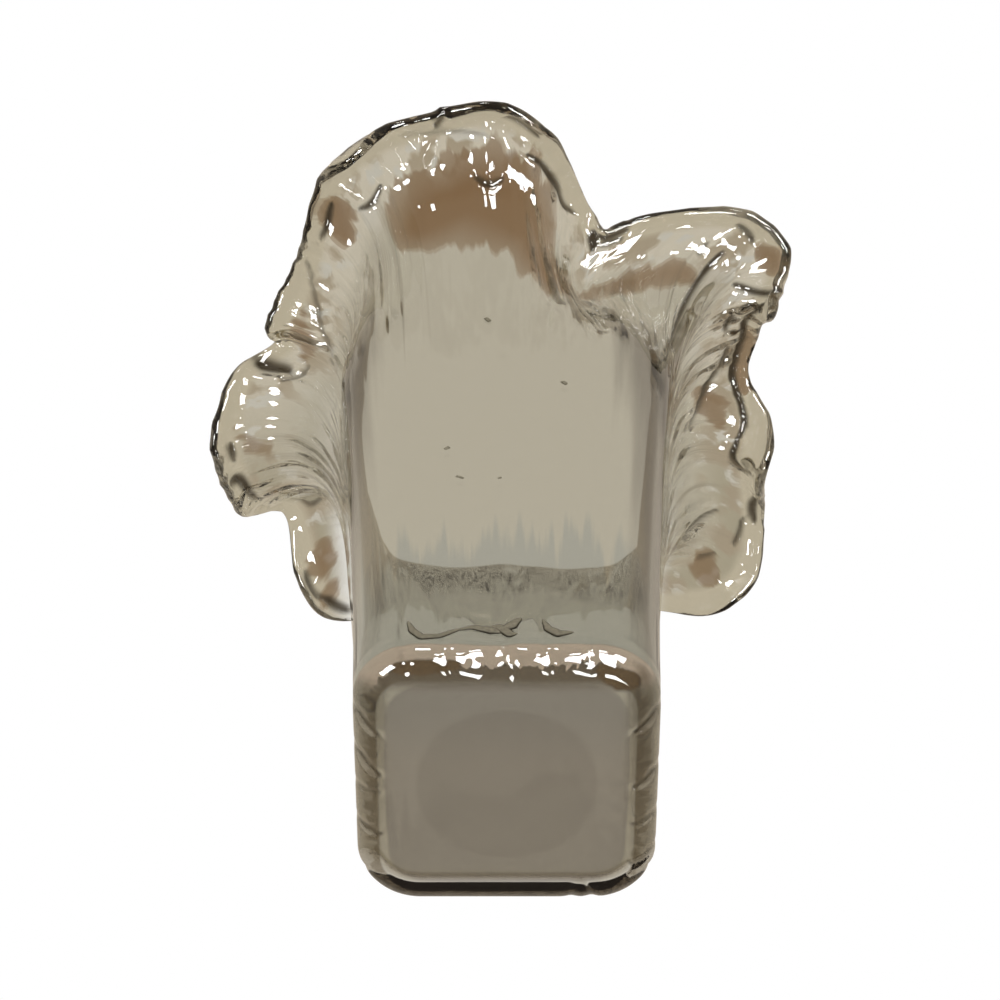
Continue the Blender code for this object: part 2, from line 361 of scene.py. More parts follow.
def ripples(around, flare):
    """Hot-worked waves: sines round the vase whose beat wanders by two slower sines. The fine
    ones are sharp in their valleys and belong to the two sides, the broad ones turn with the
    height, and both grow towards the lip."""
    wander = 2.2 * np.sin(5 * around + 1.0) + 1.6 * np.sin(9 * around + 0.4)
    fine = np.abs(np.sin(0.5 * (FINE_RIPPLES * around + 2.0 * wander))) - MEAN_RIPPLE
    broad = np.sin(BROAD_RIPPLES * around + wander + 2.5 * flare)
    sides = 0.12 + np.cos(around) ** 2
    rise = np.clip(flare, 0, 1) ** 1.2
    return rise * (FINE_RIPPLE_HEIGHT * sides * fine + BROAD_RIPPLE_HEIGHT * broad)


def spots_on(rows, along, spots):
    """Points of a skin at ruffles round and shares up, read on straight lines between its rows
    and between its columns."""
    round_spots, up_spots = np.array(spots).T
    column = round_spots * COLUMNS_PER_RUFFLE
    first = np.floor(column).astype(int)
    across = (column - first)[:, None]
    count = rows.shape[1]
    strip = rows[:, first % count] * (1 - across) + rows[:, (first + 1) % count] * across
    row = np.interp(up_spots, along, np.arange(len(along)))
    low = np.minimum(row.astype(int), len(rows) - 2)
    share = (row - low)[:, None]
    number = np.arange(len(low))
    return strip[low, number] * (1 - share) + strip[low + 1, number] * share


def rounded(spots):
    """The spots with each corner cut twice, a quarter of the way along its two sides."""
    spots = np.array(spots, dtype=float)
    for _ in range(2):
        before, after = spots[:-1], spots[1:]
        cuts = np.stack([0.75 * before + 0.25 * after, 0.25 * before + 0.75 * after], axis=1)
        spots = np.concatenate([spots[:1], cuts.reshape(-1, spots.shape[1]), spots[-1:]])
    return spots


def nearness(points, path, half_width):
    """One on the path, falling as a bell curve of the distance to it. The half width swells as a
    sine from the path's ends to its middle."""
    near = np.zeros(points.shape[:-1])
    stretches = len(path) - 1
    for number, (start, end) in enumerate(zip(path[:-1], path[1:])):
        run = end - start
        share = np.clip(np.sum((points - start) * run, axis=-1) / np.sum(run * run), 0, 1)
        off = points - start - share[..., None] * run
        swell = PATH_END_WIDTH + PATH_SWELL * np.sin(math.pi * (number + share) / stretches)
        near = np.maximum(near, np.exp(-np.sum(off * off, axis=-1) / (half_width * swell) ** 2))
    return near


places = np.arange(COLUMNS_PER_RUFFLE * len(RUFFLES)) / COLUMNS_PER_RUFFLE
around = places * math.tau / len(RUFFLES)
bearing, lip, lip_run, turned_edge = lip_line(places)
wall_heights = np.linspace(FOOT_FILLET, SHOULDER_HEIGHT, WALL_ROWS + 1)[:-1]
wall = level_rings(bearing, half_width_at(wall_heights), corner_at(wall_heights), wall_heights)
flare = flare_rows(bearing, lip, lip_run, np.linspace(0, 1, FLARE_ROWS + 1))
over = outward_normals(flare[-2:])[-1]
foot_turn = np.linspace(0, math.pi / 2, FOOT_ROWS + 1)[:-1]
foot_inset = FOOT_FILLET * (1 - np.sin(foot_turn))
foot = level_rings(
    bearing,
    half_width_at(FOOT_FILLET) - foot_inset,
    corner_at(FOOT_FILLET) - foot_inset,
    FOOT_FILLET * (1 - np.cos(foot_turn)),
)
kick_share = np.linspace(0, 1, KICK_UP_ROWS + 1)[1:, None]
kick_up = np.stack(
    [
        kick_share * KICK_UP_RADIUS * np.cos(bearing),
        kick_share * KICK_UP_RADIUS * np.sin(bearing),
        KICK_UP_DEPTH * np.cos(kick_share * math.pi / 2) * np.ones(len(bearing)),
    ],
    axis=-1,
)
ring_share = np.linspace(0, 1, RING_ROWS + 1)[1:-1, None, None]
ring = kick_up[-1] * (1 - ring_share) + foot[0] * ring_share
turned = turned_rows(lip, lip_run, over, turned_edge)
outside = np.concatenate([kick_up, ring, foot, wall, flare, turned])
along = np.concatenate(
    [
        np.linspace(MIDDLE_SHARE, FLAT_EDGE_SHARE, KICK_UP_ROWS + RING_ROWS)[:-1],
        np.linspace(FLAT_EDGE_SHARE, WALL_FOOT_SHARE, FOOT_ROWS + 1)[:-1],
        np.linspace(WALL_FOOT_SHARE, 0, WALL_ROWS + 1)[:-1],
        np.linspace(0, 1, FLARE_ROWS + 1),
        np.linspace(1, BEAD_SHARE, TURNED_ROWS + 1)[1:],
    ]
)

# Ripples, folds, foot marks and wrinkles push the skin along its normals. One layer holds the dark of
# their thick glass and the painted shade in their creases. Another holds the painted brown reflection
# on the flare and the painted shade at the foot's front corners.
normals = outward_normals(outside)
push = ripples(around, along[:, None])
for spots, half_width in SMOOTH_PATCHES:
    push *= 1 - nearness(outside, spots_on(outside, along, rounded(spots)), half_width / 1000)
thick_and_shaded = np.zeros(push.shape)
for spots, half_width, depth, darkness in FOLDS + FOOT_MARKS:
    near = nearness(outside, spots_on(outside, along, rounded(spots)), half_width / 1000)
    push -= depth / 1000 * near
    thick_and_shaded = np.maximum(thick_and_shaded, darkness * near)
for side, start, end, depth, darkness in WRINKLES:
    outward = np.array([math.cos(math.radians(side)), math.sin(math.radians(side)), 0])
    sideways = np.array([-outward[1], outward[0], 0])
    half_foot = half_width_at(0)
    edge_run = (
        half_foot * outward + start / 1000 * sideways + np.array([0, 0, 2 * FOOT_FILLET]),
        (half_foot - 0.3 * FOOT_FILLET) * outward
        + (start + end) / 2000 * sideways
        + np.array([0, 0, 0.3 * FOOT_FILLET]),
        (half_foot - FOOT_FILLET) * outward + end / 1000 * sideways,
    )
    near = nearness(outside, np.array(edge_run), WRINKLE_HALF_WIDTH)
    push -= depth / 1000 * near
    thick_and_shaded = np.maximum(thick_and_shaded, darkness * near)
brown_reflection_and_shade = np.zeros(push.shape)
# Painted shade at the foot's front corners
for spots, half_width, darkening in FILLET_SHADE_SPOTS:
    path = np.insert(rounded(spots) / 1000, 2, FILLET_SHADE_HEIGHT, axis=1)
    brown_reflection_and_shade = np.maximum(brown_reflection_and_shade, darkening * nearness(outside, path, half_width / 1000))
# Painted reflection of a brown room on the flare
for spots, half_width, evenness in BROWN_REFLECTION_PATCHES:
    near = nearness(outside, spots_on(outside, along, rounded(spots)), half_width / 1000)
    brown_reflection_and_shade = np.maximum(brown_reflection_and_shade, evenness * near)
smooth_outside = outside
outside = smooth_outside + normals * push[..., None]

# The inside follows the outside at the wall's thickness, which grows towards the lip, and
# takes half of its relief. A half-round bead joins the two at the lip.
thickening = np.clip(along, 0, 1) ** LIP_THICKENING
thickness = WALL_THICKNESS + (LIP_THICKNESS - WALL_THICKNESS) * thickening[:, None]
inside = smooth_outside + normals * (INSIDE_SHARE_OF_RELIEF * push - thickness)[..., None]
edge_run = outside[-1] - outside[-2]
edge_run /= np.linalg.norm(edge_run, axis=-1, keepdims=True)
bead_turn = np.linspace(0, math.pi, LIP_ROWS + 1)[1:-1, None, None]
bead = (outside[-1] + inside[-1]) / 2 + LIP_THICKNESS / 2 * (
    np.cos(bead_turn) * normals[-1] + np.sin(bead_turn) * edge_run
)

well_top = FLOOR_THICKNESS + WELL_FILLET
well_turn = np.linspace(0, math.pi / 2, WELL_ROWS + 1)[1:]
well_inset = WALL_THICKNESS + WELL_FILLET * (1 - np.cos(well_turn))
well = level_rings(
    bearing,
    half_width_at(well_top) - well_inset,
    corner_at(well_top) - well_inset,
    well_top - WELL_FILLET * np.sin(well_turn),
)
floor_share = np.array(WELL_FLOOR_SHARES)[:, None, None]
well_middle = np.array([0, 0, FLOOR_THICKNESS])
well = np.concatenate([well, well_middle + (well[-1] - well_middle) * floor_share])
inner_rows = np.flatnonzero(along > INSIDE_START)[::-2]
skin = np.concatenate([outside, bead, inside[inner_rows], well])
bead_along = np.full(LIP_ROWS - 1, BEAD_SHARE)
well_along = np.full(len(well), WALL_FOOT_SHARE)
skin_along = np.concatenate([along, bead_along, along[inner_rows], well_along])


def over_skin(layer):
    """A layer of the outside carried round the bead and down the inside, with none in the well."""
    bead_layer = np.repeat(layer[-1:], LIP_ROWS - 1, axis=0)
    well_layer = np.zeros(well.shape[:2])
    return np.concatenate([layer, bead_layer, layer[inner_rows], well_layer])


def closed_skin(name, rows, poles):
    """Mesh of a grid that closes round each row, with a fan to a pole at its first and last."""
    count, columns = rows.shape[:2]
    points = np.concatenate([rows.reshape(-1, 3), poles])
    here = np.arange(columns)
    beside = (here + 1) % columns
    low = np.arange(count - 1)[:, None] * columns
    high = low + columns
    quads = np.stack([low + here, low + beside, high + beside, high + here], axis=-1)
    first_pole = np.full(columns, count * columns)
    last = (count - 1) * columns
    first_fan = np.stack([first_pole, beside, here], axis=-1)
    last_fan = np.stack([last + here, last + beside, first_pole + 1], axis=-1)
    corners = np.concatenate([quads.ravel(), first_fan.ravel(), last_fan.ravel()])
    sizes = np.concatenate([np.full(quads.size // 4, 4), np.full(2 * columns, 3)])
    mesh = bpy.data.meshes.new(name)
    mesh.vertices.add(len(points))
    mesh.vertices.foreach_set("co", points.astype(np.float32).ravel())
    mesh.loops.add(len(corners))
    mesh.loops.foreach_set("vertex_index", corners.astype(np.int32))
    mesh.polygons.add(len(sizes))
    starts = np.concatenate([[0], np.cumsum(sizes)[:-1]])
    mesh.polygons.foreach_set("loop_start", starts.astype(np.int32))
    mesh.update(calc_edges=True)
    mesh.validate()
    mesh.shade_smooth()
    return mesh


solid_points = np.array([point.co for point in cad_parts["vase"].data.vertices])
foot_ring = solid_points[solid_points[:, 2] < 1e-5]
foot_middle = (foot_ring.min(axis=0) + foot_ring.max(axis=0)) / 2
poles = np.array([(0, 0, KICK_UP_DEPTH), (0, 0, FLOOR_THICKNESS)])
vase_mesh = closed_skin("ruffled_vase", skin + foot_middle, poles + foot_middle)
flow = np.stack(
    [
        np.broadcast_to(np.cos(around), skin.shape[:2]),
        np.broadcast_to(np.sin(around), skin.shape[:2]),
        np.broadcast_to(skin_along[:, None], skin.shape[:2]),
    ],
    axis=-1,
).reshape(-1, 3)
flow = np.concatenate([flow, [(0, 0, MIDDLE_SHARE), (0, 0, WALL_FOOT_SHARE)]])
flow_layer = vase_mesh.attributes.new("flow", "FLOAT_VECTOR", "POINT")
flow_layer.data.foreach_set("vector", flow.astype(np.float32).ravel())
for layer_name, layer in (("thick_glass_and_shade", thick_and_shaded), ("brown_reflection_and_shade", brown_reflection_and_shade)):
    skin_layer = vase_mesh.attributes.new(layer_name, "FLOAT", "POINT")
    values = np.append(over_skin(layer).ravel(), (0, 0))
    skin_layer.data.foreach_set("value", values.astype(np.float32))
vase = bpy.data.objects.new("ruffled_vase", vase_mesh)
bpy.context.scene.collection.objects.link(vase)

# Smoked, lustred glass: sandy over the front, clearer at the back and mottled on the flare. Its brown
# patches on the flare are a painted reflection of a brown room. Folds are dark with painted shade
# over their thick glass, and so is a thick foot.
SANDY = (0.43, 0.395, 0.305, 1)
FLARE_FRONT = (0.54, 0.49, 0.385, 1)
CLEAR_BACK = (0.87, 0.865, 0.84, 1)
LOW_GREY = (0.35, 0.34, 0.28, 1)
CORNER_SHADE = (0.22, 0.195, 0.152, 1)
BACK_LOBES = (0.37, 0.33, 0.235, 1)
DARK_MOTTLE = (0.36, 0.30, 0.21, 1)
PALE_MOTTLE = (0.52, 0.49, 0.41, 1)
LIP_EDGE = (0.48, 0.425, 0.31, 1)
CLEAR_BACK_LOBE = (0.87, 0.86, 0.82, 1)
REFLECTED_BROWN = (0.205, 0.125, 0.06, 1)
UNDERSIDE = (0.205, 0.178, 0.15, 1)
KICK_UP = (0.172, 0.148, 0.124, 1)
FOOT_EDGE = (0.19, 0.155, 0.105, 1)
FLAT_EDGE_HIGHLIGHT = (0.36, 0.32, 0.25, 1)
FOOT_PATCHES = (0.10, 0.075, 0.045, 1)
FRONT_DARK_REFLECTION = (0.06, 0.041, 0.024, 1)
FRONT_PINK_REFLECTION = (0.56, 0.40, 0.29, 1)
FILLET_SHADE_BROWN = (0.05, 0.025, 0.009, 1)
GATHER_SHADE = (0.09, 0.068, 0.038, 1)
FOLD_SHADE = (0.04, 0.03, 0.017, 1)
SLANT_SANDY = (0.45, 0.39, 0.3, 1)
SHADE_TINT = (0.72, 0.68, 0.6, 1)
DEPTH_TINT = (0.34, 0.29, 0.2, 1)
DEPTH_DENSITY = 6.0
GLASS_ROUGHNESS = 0.02
GLASS_BENDING = 1.5
WAVE_STRENGTH = 0.5
WAVE_HEIGHT = 0.004


def feed(socket, value):
    """Joins a socket to another one, or sets it to a number or a colour."""
    if isinstance(value, bpy.types.NodeSocket):
        socket.id_data.links.new(value, socket)
    else:
        socket.default_value = value


def added(tree, kind, **values):
    """A new node in a tree of nodes, with its named inputs fed."""
    made = tree.nodes.new(kind)
    for name, value in values.items():
        feed(made.inputs[name.replace("_", " ")], value)
    return made


def layer_node(tree, name):
    """The node that reads a layer of values on the points of a mesh."""
    made = tree.nodes.new("ShaderNodeAttribute")
    made.attribute_name = name
    return made


def stretched_noise(source, stretch, detail):
    """Noise that follows a vector, stretched by a factor for each of its parts."""
    stretched = source.id_data.nodes.new("ShaderNodeVectorMath")
    stretched.operation = "MULTIPLY"
    feed(stretched.inputs[0], source)
    feed(stretched.inputs[1], stretch)
    noise = added(source.id_data, "ShaderNodeTexNoise", Scale=1.0, Detail=detail)
    feed(noise.inputs["Vector"], stretched.outputs[0])
    return noise.outputs[0]


def smooth_step(value, low, high):
    """Zero below low and one above high, with a smooth step between them."""
    step = added(value.id_data, "ShaderNodeMapRange", Value=value, From_Min=low, From_Max=high)
    step.interpolation_type = "SMOOTHSTEP"
    return step.outputs[0]


def combined(operation, first, second=0.0, third=0.0):
    """A sum, product or other mathematical operation on a socket and up to two more values."""
    made = first.id_data.nodes.new("ShaderNodeMath")
    made.operation = operation
    for socket, value in zip(made.inputs, (first, second, third)):
        feed(socket, value)
    return made.outputs[0]


def product(first, *others):
    """Shares multiplied together."""
    for other in others:
        first = combined("MULTIPLY", first, other)
    return first


def frayed(value, noise, amount):
    """A value that noise moves by an amount, so that a step along it gets a torn edge."""
    return combined("MULTIPLY_ADD", noise, amount, value)


def tinted(share, under, over):
    """The colour below, with a share of another colour over it."""
    made = share.id_data.nodes.new("ShaderNodeMix")
    made.data_type = "RGBA"
    for socket, value in zip((made.inputs[0], made.inputs[6], made.inputs[7]), (share, under, over)):
        feed(socket, value)
    return made.outputs[2]


def mixed_shader(share, first, second):
    """The first shader, with a share of the second one in its place."""
    made = share.id_data.nodes.new("ShaderNodeMixShader")
    for socket, value in zip(made.inputs, (share, first, second)):
        feed(socket, value)
    return made.outputs[0]


glass = bpy.data.materials.new("smoked_glass")
glass.use_nodes = True
glass_tree = glass.node_tree
glass_tree.nodes.clear()
flow_vector = layer_node(glass_tree, "flow").outputs["Vector"]
flow_parts = added(glass_tree, "ShaderNodeSeparateXYZ", Vector=flow_vector)
upward = flow_parts.outputs["Z"]
place = added(glass_tree, "ShaderNodeTexCoord").outputs["Object"]
place_parts = added(glass_tree, "ShaderNodeSeparateXYZ", Vector=place)
backward = place_parts.outputs["Y"]
off_middle = combined("ABSOLUTE", place_parts.outputs["X"])
thick_and_shade_layer = layer_node(glass_tree, "thick_glass_and_shade").outputs["Fac"]
brown_reflection_and_shade_layer = layer_node(glass_tree, "brown_reflection_and_shade").outputs["Fac"]
streaks = stretched_noise(flow_vector, (14, 14, 1.6), 4.0)
patches = stretched_noise(flow_vector, (9, 9, 4.5), 3.0)
other_patches = stretched_noise(flow_vector, (13, 15, 7), 2.0)
tongues = stretched_noise(flow_vector, (10, 10, 1.0), 3.0)
tears = stretched_noise(flow_vector, (16, 16, 6), 4.0)
gather_lines = stretched_noise(flow_vector, (52, 52, 0.8), 2.0)
waves = stretched_noise(flow_vector, (9, 9, 2.4), 2.0)

# Sandy in front and clear at the back
on_flare = smooth_step(upward, 0.6, 0.9)
back_share = product(
    smooth_step(backward, -0.02, 0.06),
    smooth_step(upward, -1.0, -0.95),
    smooth_step(off_middle, 0.078, 0.064),
)
tint = tinted(on_flare, SANDY, FLARE_FRONT)
tint = tinted(back_share, tint, CLEAR_BACK)

# Low on the front wall the glass is greyer, up to a torn edge like flames. The square's corners, seen
# at a slant, are darker in long streaks of painted shade.
low_share = product(
    smooth_step(frayed(upward, tongues, 0.8), -0.24, -0.33), smooth_step(backward, 0.0, -0.03)
)
corner_shade_share = product(
    smooth_step(frayed(off_middle, streaks, 0.016), 0.051, 0.063),
    smooth_step(upward, 0.45, 0.1),
    smooth_step(backward, 0.06, -0.03),
)
tint = tinted(low_share, tint, LOW_GREY)
tint = tinted(corner_shade_share, tint, CORNER_SHADE)

# The flare is browner at the back and mottled all round, with a deeper edge, and clear in the
# middle of the back
back_lobes = product(on_flare, smooth_step(backward, -0.02, 0.05))
dark_mottle = product(on_flare, smooth_step(patches, 0.50, 0.56))
pale_mottle = product(on_flare, smooth_step(other_patches, 0.57, 0.62))
lip_edge = smooth_step(upward, 0.96, 1.03)
back_middle = product(
    smooth_step(off_middle, 0.079, 0.064), smooth_step(backward, 0.05, 0.07), 0.85
)
tint = tinted(back_lobes, tint, BACK_LOBES)
tint = tinted(dark_mottle, tint, DARK_MOTTLE)
tint = tinted(pale_mottle, tint, PALE_MOTTLE)
tint = tinted(lip_edge, tint, LIP_EDGE)
tint = tinted(back_middle, tint, CLEAR_BACK_LOBE)

# The painted brown reflection ends in streaks
brown_reflection_and_shade_share = product(
    smooth_step(frayed(brown_reflection_and_shade_layer, streaks, 0.9), 0.9, 0.97),
    combined("MULTIPLY_ADD", brown_reflection_and_shade_layer, 0.7, 0.35),
)
tint = tinted(brown_reflection_and_shade_share, tint, REFLECTED_BROWN)

# The foot is darker, with a painted highlight as a light line round its flat. Its rounded edge is
# brown at the sides with darker patches. In front it carries a painted reflection, dark with a torn
# pinkish band, and painted shade in two pools where the well's fillet shows through.
under_foot = smooth_step(upward, -1.19, -1.2)
under_kick_up = smooth_step(upward, -1.31, -1.325)
on_foot = product(smooth_step(upward, -1.2, -1.185), smooth_step(upward, -1.0, -1.02))
# Painted highlight: a light line round the edge of the flat
flat_edge_highlight = product(smooth_step(upward, -1.222, -1.212), under_foot)
foot_patches = product(on_foot, smooth_step(frayed(upward, tears, 0.3), -0.99, -1.0))
in_front = smooth_step(backward, -0.036, -0.042)
# Painted reflection on the front of the rounded edge: dark below a torn pinkish band
front_dark_reflection = product(in_front, smooth_step(upward, -1.0, -1.03))
front_pink_reflection = product(on_foot, in_front, smooth_step(frayed(upward, tears, 0.16), -1.055, -1.045))
# Painted shade: two dark pools where the well's fillet shows through the foot
fillet_shade = product(
    smooth_step(frayed(brown_reflection_and_shade_layer, tears, 0.4), 0.55, 0.85), smooth_step(upward, -1.0, -1.02)
)
tint = tinted(under_foot, tint, UNDERSIDE)
tint = tinted(under_kick_up, tint, KICK_UP)
tint = tinted(on_foot, tint, FOOT_EDGE)
tint = tinted(flat_edge_highlight, tint, FLAT_EDGE_HIGHLIGHT)
tint = tinted(foot_patches, tint, FOOT_PATCHES)
tint = tinted(front_dark_reflection, tint, FRONT_DARK_REFLECTION)
tint = tinted(front_pink_reflection, tint, FRONT_PINK_REFLECTION)
tint = tinted(fillet_shade, tint, FILLET_SHADE_BROWN)

# Painted shade in fine dark lines where the sides were gathered and in the dark folds, and sandy
# slanting glass
gather_shade_share = product(
    smooth_step(gather_lines, 0.56, 0.68),
    smooth_step(upward, -0.1, 0.3),
    smooth_step(upward, 1.0, 0.55),
    smooth_step(combined("ABSOLUTE", flow_parts.outputs["X"]), 0.4, 0.7),
    0.45,
)
# Painted shade over the thick glass of the folds and wrinkles
fold_shade_share = smooth_step(frayed(thick_and_shade_layer, patches, 0.3), 0.35, 1.05)
slant = added(glass_tree, "ShaderNodeLayerWeight", Blend=0.5).outputs["Facing"]
slant_share = product(combined("POWER", slant, 8.0), smooth_step(backward, 0.04, 0.0))
tint = tinted(gather_shade_share, tint, GATHER_SHADE)
tint = tinted(fold_shade_share, tint, FOLD_SHADE)
tint = tinted(slant_share, tint, SLANT_SANDY)

# The blown surface is slightly wavy from the wall up. Shadows keep the glass's tint.
wave_bump = added(
    glass_tree,
    "ShaderNodeBump",
    Strength=WAVE_STRENGTH,
    Distance=WAVE_HEIGHT,
    Height=product(waves, smooth_step(upward, -0.2, 0.7)),
)
shell = added(
    glass_tree,
    "ShaderNodeBsdfPrincipled",
    Base_Color=tint,
    Roughness=GLASS_ROUGHNESS,
    IOR=GLASS_BENDING,
    Transmission_Weight=1.0,
    Normal=wave_bump.outputs[0],
)
lit_through = added(glass_tree, "ShaderNodeBsdfTransparent", Color=SHADE_TINT)
shadow_ray = added(glass_tree, "ShaderNodeLightPath").outputs["Is Shadow Ray"]
depth = added(glass_tree, "ShaderNodeVolumeAbsorption", Color=DEPTH_TINT, Density=DEPTH_DENSITY)
added(
    glass_tree,
    "ShaderNodeOutputMaterial",
    Surface=mixed_shader(shadow_ray, shell.outputs[0], lit_through.outputs[0]),
    Volume=depth.outputs[0],
)
vase_mesh.materials.append(glass)

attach(vase, "root")
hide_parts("vase")

# Blisters trapped low in the front wall, and seeds above them: flat threads and specks of air
# in the glass, with sandy skins. Spots are millimetres across and up, and half widths are
# millimetres before the widening.
BLISTERS = (
    (
        ((-32.1, 20.5), (-30.5, 15.0), (-27.5, 11.5), (-21.7, 12.0), (-15.2, 16.0)),
        (0.5, 1.2, 1.3, 1.0, 0.8),
    ),
    (((-17.0, 15.2), (-11.0, 17.0), (-5.0, 15.0), (-1.5, 14.2)), (0.4, 1.0, 1.7, 0.5)),
    (((-6.0, 17.0), (-2.5, 17.0), (1.0, 13.0), (3.5, 13.5)), (0.4, 1.5, 1.6, 0.3)),
    (((-1.5, 15.5), (1.6, 18.0), (4.6, 22.5)), (0.8, 1.8, 0.6)),
    (((11.6, 21.6), (13.5, 16.0), (16.5, 13.4), (21.6, 14.2)), (0.3, 1.4, 1.7, 0.4)),
    (((-7.6, 215.5), (-6.4, 216.5)), (1.4, 1.2)),
    (((21.5, 171.0), (22.6, 172.0)), (1.3, 1.0)),
    (((-22.3, 126.0), (-20.5, 127.5)), (0.5, 0.7)),
    (((-17.8, 108.5), (-15.0, 107.0)), (0.6, 0.4)),
    (((-3.0, 107.0), (-1.6, 107.6)), (0.4, 0.4)),
)
BLISTER_RINGS = 40
BLISTER_SIDES = 12
BLISTER_WIDENING = 1.25
BLISTER_EASING = 0.3
BLISTER_FLATNESS = 0.25
BLISTER_PROUD = 0.1
BLISTER_END = 0.99
SEED_OUTLINE = 0.6
SLOPE_OVER_SHOULDER = 0.1
BEND_OVER_SHOULDER = 1.5
BLISTER_DARK = (0.09, 0.078, 0.05, 1)
BLISTER_PALE = (0.3, 0.27, 0.195, 1)
BLISTER_EDGE_SHADE = (0.028, 0.022, 0.012, 1)
BLISTER_GRAIN = 900.0


def front_wall_depth(height):
    """How far in front of the middle the outer skin of the front wall stands: the wall's half
    width, and over the shoulder a slope and a bend with the square of the height."""
    on_wall = np.minimum(height, SHOULDER_HEIGHT)
    over_shoulder = np.maximum(height - SHOULDER_HEIGHT, 0)
    flared = SLOPE_OVER_SHOULDER * over_shoulder + BEND_OVER_SHOULDER * over_shoulder**2
    return half_width_at(on_wall) + flared


def blister(spots, half_widths):
    """Flat tube through spots on the front wall: an ellipse four times as wide as it is deep, carried
    along and closed at both ends by a half-round share of its width. Its outline layer, which places
    painted shade along its edges, is the cosine of the turn, so it is one at both edges, and paler on
    a seed."""
    numbers = np.linspace(0, len(spots) - 1, BLISTER_RINGS)
    eased = numbers - np.sin(math.tau * numbers) / math.tau * BLISTER_EASING
    whole = np.arange(len(spots))
    line = np.column_stack([np.interp(eased, whole, side) for side in np.array(spots).T])
    line = (np.roll(line, 1, axis=0) + line + np.roll(line, -1, axis=0)) / 3
    line[0], line[-1] = spots[0], spots[-1]
    across = np.gradient(line, axis=0)[:, ::-1] * (-1, 1)
    across /= np.linalg.norm(across, axis=1, keepdims=True)
    closing = np.sqrt(1 - np.linspace(-BLISTER_END, BLISTER_END, BLISTER_RINGS) ** 8)
    width = BLISTER_WIDENING * np.interp(numbers, whole, half_widths) * closing
    turn = np.arange(BLISTER_SIDES) * math.tau / BLISTER_SIDES
    flat = line[:, None] + across[:, None] * (width[:, None] * np.cos(turn))[..., None]
    proud = BLISTER_FLATNESS * width[:, None] * np.sin(turn) + BLISTER_PROUD
    height = flat[..., 1] / 1000
    rows = np.stack([flat[..., 0] / 1000, -front_wall_depth(height) - proud / 1000, height], axis=-1)
    outline = np.append(np.tile(np.abs(np.cos(turn)), BLISTER_RINGS), (1, 1))
    if len(spots) == 2:
        outline *= SEED_OUTLINE
    return rows, np.array([rows[0].mean(axis=0), rows[-1].mean(axis=0)]), outline


blister_skin = bpy.data.materials.new("blister_skin")
blister_skin.use_nodes = True
blister_tree = blister_skin.node_tree
blister_place = added(blister_tree, "ShaderNodeTexCoord").outputs["Object"]
blister_grain = added(blister_tree, "ShaderNodeTexNoise", Vector=blister_place, Scale=BLISTER_GRAIN)
# Painted shade darkens each blister along both edges
blister_edge_shade = added(
    blister_tree,
    "ShaderNodeMapRange",
    Value=layer_node(blister_tree, "outline").outputs["Fac"],
    From_Min=0.6,
    From_Max=0.85,
)
blister_colour = tinted(blister_grain.outputs[0], BLISTER_DARK, BLISTER_PALE)
blister_colour = tinted(blister_edge_shade.outputs[0], blister_colour, BLISTER_EDGE_SHADE)
blister_shell = blister_tree.nodes["Principled BSDF"]
feed(blister_shell.inputs["Base Color"], blister_colour)
feed(blister_shell.inputs["Roughness"], 0.4)
feed(blister_shell.inputs["IOR"], 1.25)
for number, (spots, half_widths) in enumerate(BLISTERS, start=1):
    rows, ends, outline = blister(spots, half_widths)
    mesh = closed_skin(f"blister_{number}", rows + foot_middle, ends + foot_middle)
    outline_layer = mesh.attributes.new("outline", "FLOAT", "POINT")
    outline_layer.data.foreach_set("value", outline.astype(np.float32))
    mesh.materials.append(blister_skin)
    blister_object = bpy.data.objects.new(f"blister_{number}", mesh)
    bpy.context.scene.collection.objects.link(blister_object)
    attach(blister_object, "root")

# A pale floor under the foot. It shows from above, and lets the view from below through. Rays
# that the glass mirrors or bends pass through it too, into the white room.
FLOOR_REACH = 6.0
FLOOR_LEVEL = -0.0005
FLOOR_COLOUR = (0.86, 0.86, 0.85, 1)
floor_mesh = bpy.data.meshes.new("floor")
floor_mesh.from_pydata(
    [
        (-FLOOR_REACH, -FLOOR_REACH, FLOOR_LEVEL),
        (FLOOR_REACH, -FLOOR_REACH, FLOOR_LEVEL),
        (FLOOR_REACH, FLOOR_REACH, FLOOR_LEVEL),
        (-FLOOR_REACH, FLOOR_REACH, FLOOR_LEVEL),
    ],
    [],
    [(0, 1, 2, 3)],
)
floor = bpy.data.objects.new("floor", floor_mesh)
bpy.context.scene.collection.objects.link(floor)
floor_paint = bpy.data.materials.new("pale_floor")
floor_paint.use_nodes = True
floor_tree = floor_paint.node_tree
floor_tree.nodes.clear()
floor_top = added(floor_tree, "ShaderNodeBsdfDiffuse", Color=FLOOR_COLOUR).outputs[0]
floor_gone = added(floor_tree, "ShaderNodeBsdfTransparent").outputs[0]
from_below = added(floor_tree, "ShaderNodeNewGeometry").outputs["Backfacing"]
mirrored = added(floor_tree, "ShaderNodeLightPath").outputs["Is Glossy Ray"]
floor_shader = mixed_shader(combined("MAXIMUM", from_below, mirrored), floor_top, floor_gone)
added(floor_tree, "ShaderNodeOutputMaterial", Surface=floor_shader)
floor_mesh.materials.append(floor_paint)

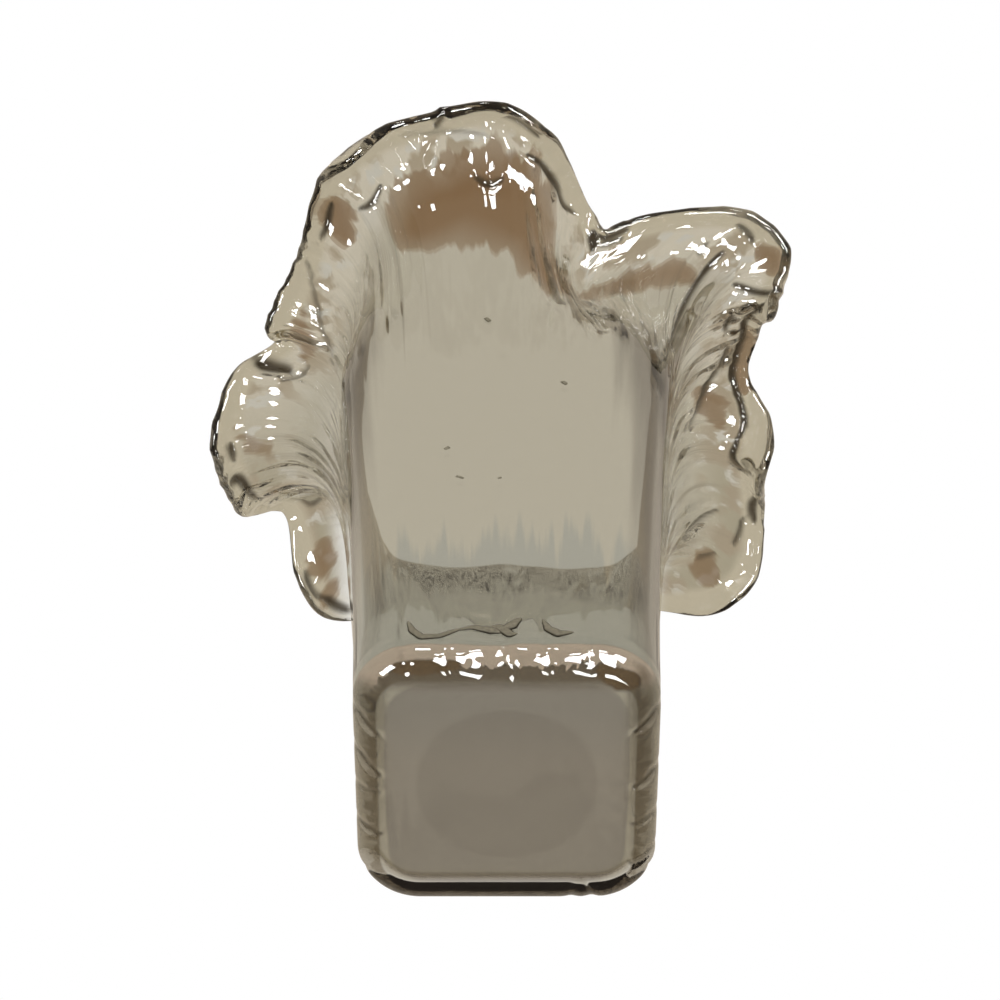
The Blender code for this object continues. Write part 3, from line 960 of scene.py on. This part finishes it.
# A white room all round, with soft lamps that leave the glints on the glass. What the glass
# mirrors is dimmer, and brown from below the floor. A refracted ray counts as glossy too, so
# only one that isn't passed through mirrors the dimmer room.
ROOM_WHITE = (1, 1, 1, 1)
MIRRORED_ROOM = (0.58, 0.51, 0.42, 1)
MIRRORED_BELOW = (0.3, 0.24, 0.19, 1)
LAMP_AIM = (0, -0.05, 0.26)
LAMP_DISTANCE = 1.2
room = bpy.data.worlds.new("white_room")
bpy.context.scene.world = room
room.use_nodes = True
room_tree = room.node_tree
room_way = added(room_tree, "ShaderNodeTexCoord").outputs["Generated"]
room_height = added(room_tree, "ShaderNodeSeparateXYZ", Vector=room_way).outputs["Z"]
room_below = added(room_tree, "ShaderNodeMapRange", Value=room_height, From_Min=0.0, From_Max=-0.25)
room_mirrored = tinted(room_below.outputs[0], MIRRORED_ROOM, MIRRORED_BELOW)
room_ray = added(room_tree, "ShaderNodeLightPath").outputs
mirror_share = combined("SUBTRACT", room_ray["Is Glossy Ray"], room_ray["Is Transmission Ray"])
mirror_share.node.use_clamp = True
room_light = room_tree.nodes["Background"]
feed(room_light.inputs["Color"], tinted(mirror_share, ROOM_WHITE, room_mirrored))
feed(room_light.inputs["Strength"], 1.0)


def soft_lamp(name, way, width, height, watts):
    """Rectangular lamp that faces the mouth from a little over a metre away, out of sight."""
    lamp = bpy.data.lights.new(name, "AREA")
    lamp.shape = "RECTANGLE"
    lamp.size = width
    lamp.size_y = height
    lamp.energy = watts
    lamp_object = bpy.data.objects.new(name, lamp)
    bpy.context.scene.collection.objects.link(lamp_object)
    lamp_object.location = Vector(LAMP_AIM) + LAMP_DISTANCE * Vector(way)
    lamp_object.rotation_euler = Vector(way).to_track_quat("Z", "Y").to_euler()
    lamp_object.visible_camera = False
    lamp_object.visible_transmission = False


soft_lamp("low_window", (0.25, -0.68, -0.68), 0.54, 0.42, 24.5)
soft_lamp("right_window", (0.54, -0.66, -0.53), 0.32, 0.34, 11)
soft_lamp("left_window", (-0.65, -0.4, -0.88), 0.46, 0.38, 22)
soft_lamp("under_window", (0.2, -0.02, -0.98), 0.26, 0.22, 6)
soft_lamp("front_window", (0.19, -0.88, -0.4), 0.26, 0.12, 4)
soft_lamp("level_window", (-0.1, -1.0, 0.05), 0.16, 0.2, 3)

# The view of the photograph, from under the foot and in front
CAMERA_PLACE = (0.00095, -0.4703, -0.647)
CAMERA_LENS = 87.264
VIEW_BACKWARD = 0.489
VIEW_UPWARD = 0.8722
camera = bpy.data.cameras.new("camera")
camera.lens = CAMERA_LENS
camera.sensor_width = 36.0
camera.clip_end = 20.0
camera_object = bpy.data.objects.new("camera", camera)
bpy.context.scene.collection.objects.link(camera_object)
camera_object.location = CAMERA_PLACE
camera_object.rotation_euler = (math.pi - math.atan2(VIEW_BACKWARD, VIEW_UPWARD), 0, 0)
bpy.context.scene.camera = camera_object
bpy.context.scene.view_settings.view_transform = "Standard"
bpy.context.scene.cycles.max_bounces = 24
bpy.context.scene.cycles.transmission_bounces = 24
bpy.context.scene.cycles.glossy_bounces = 20
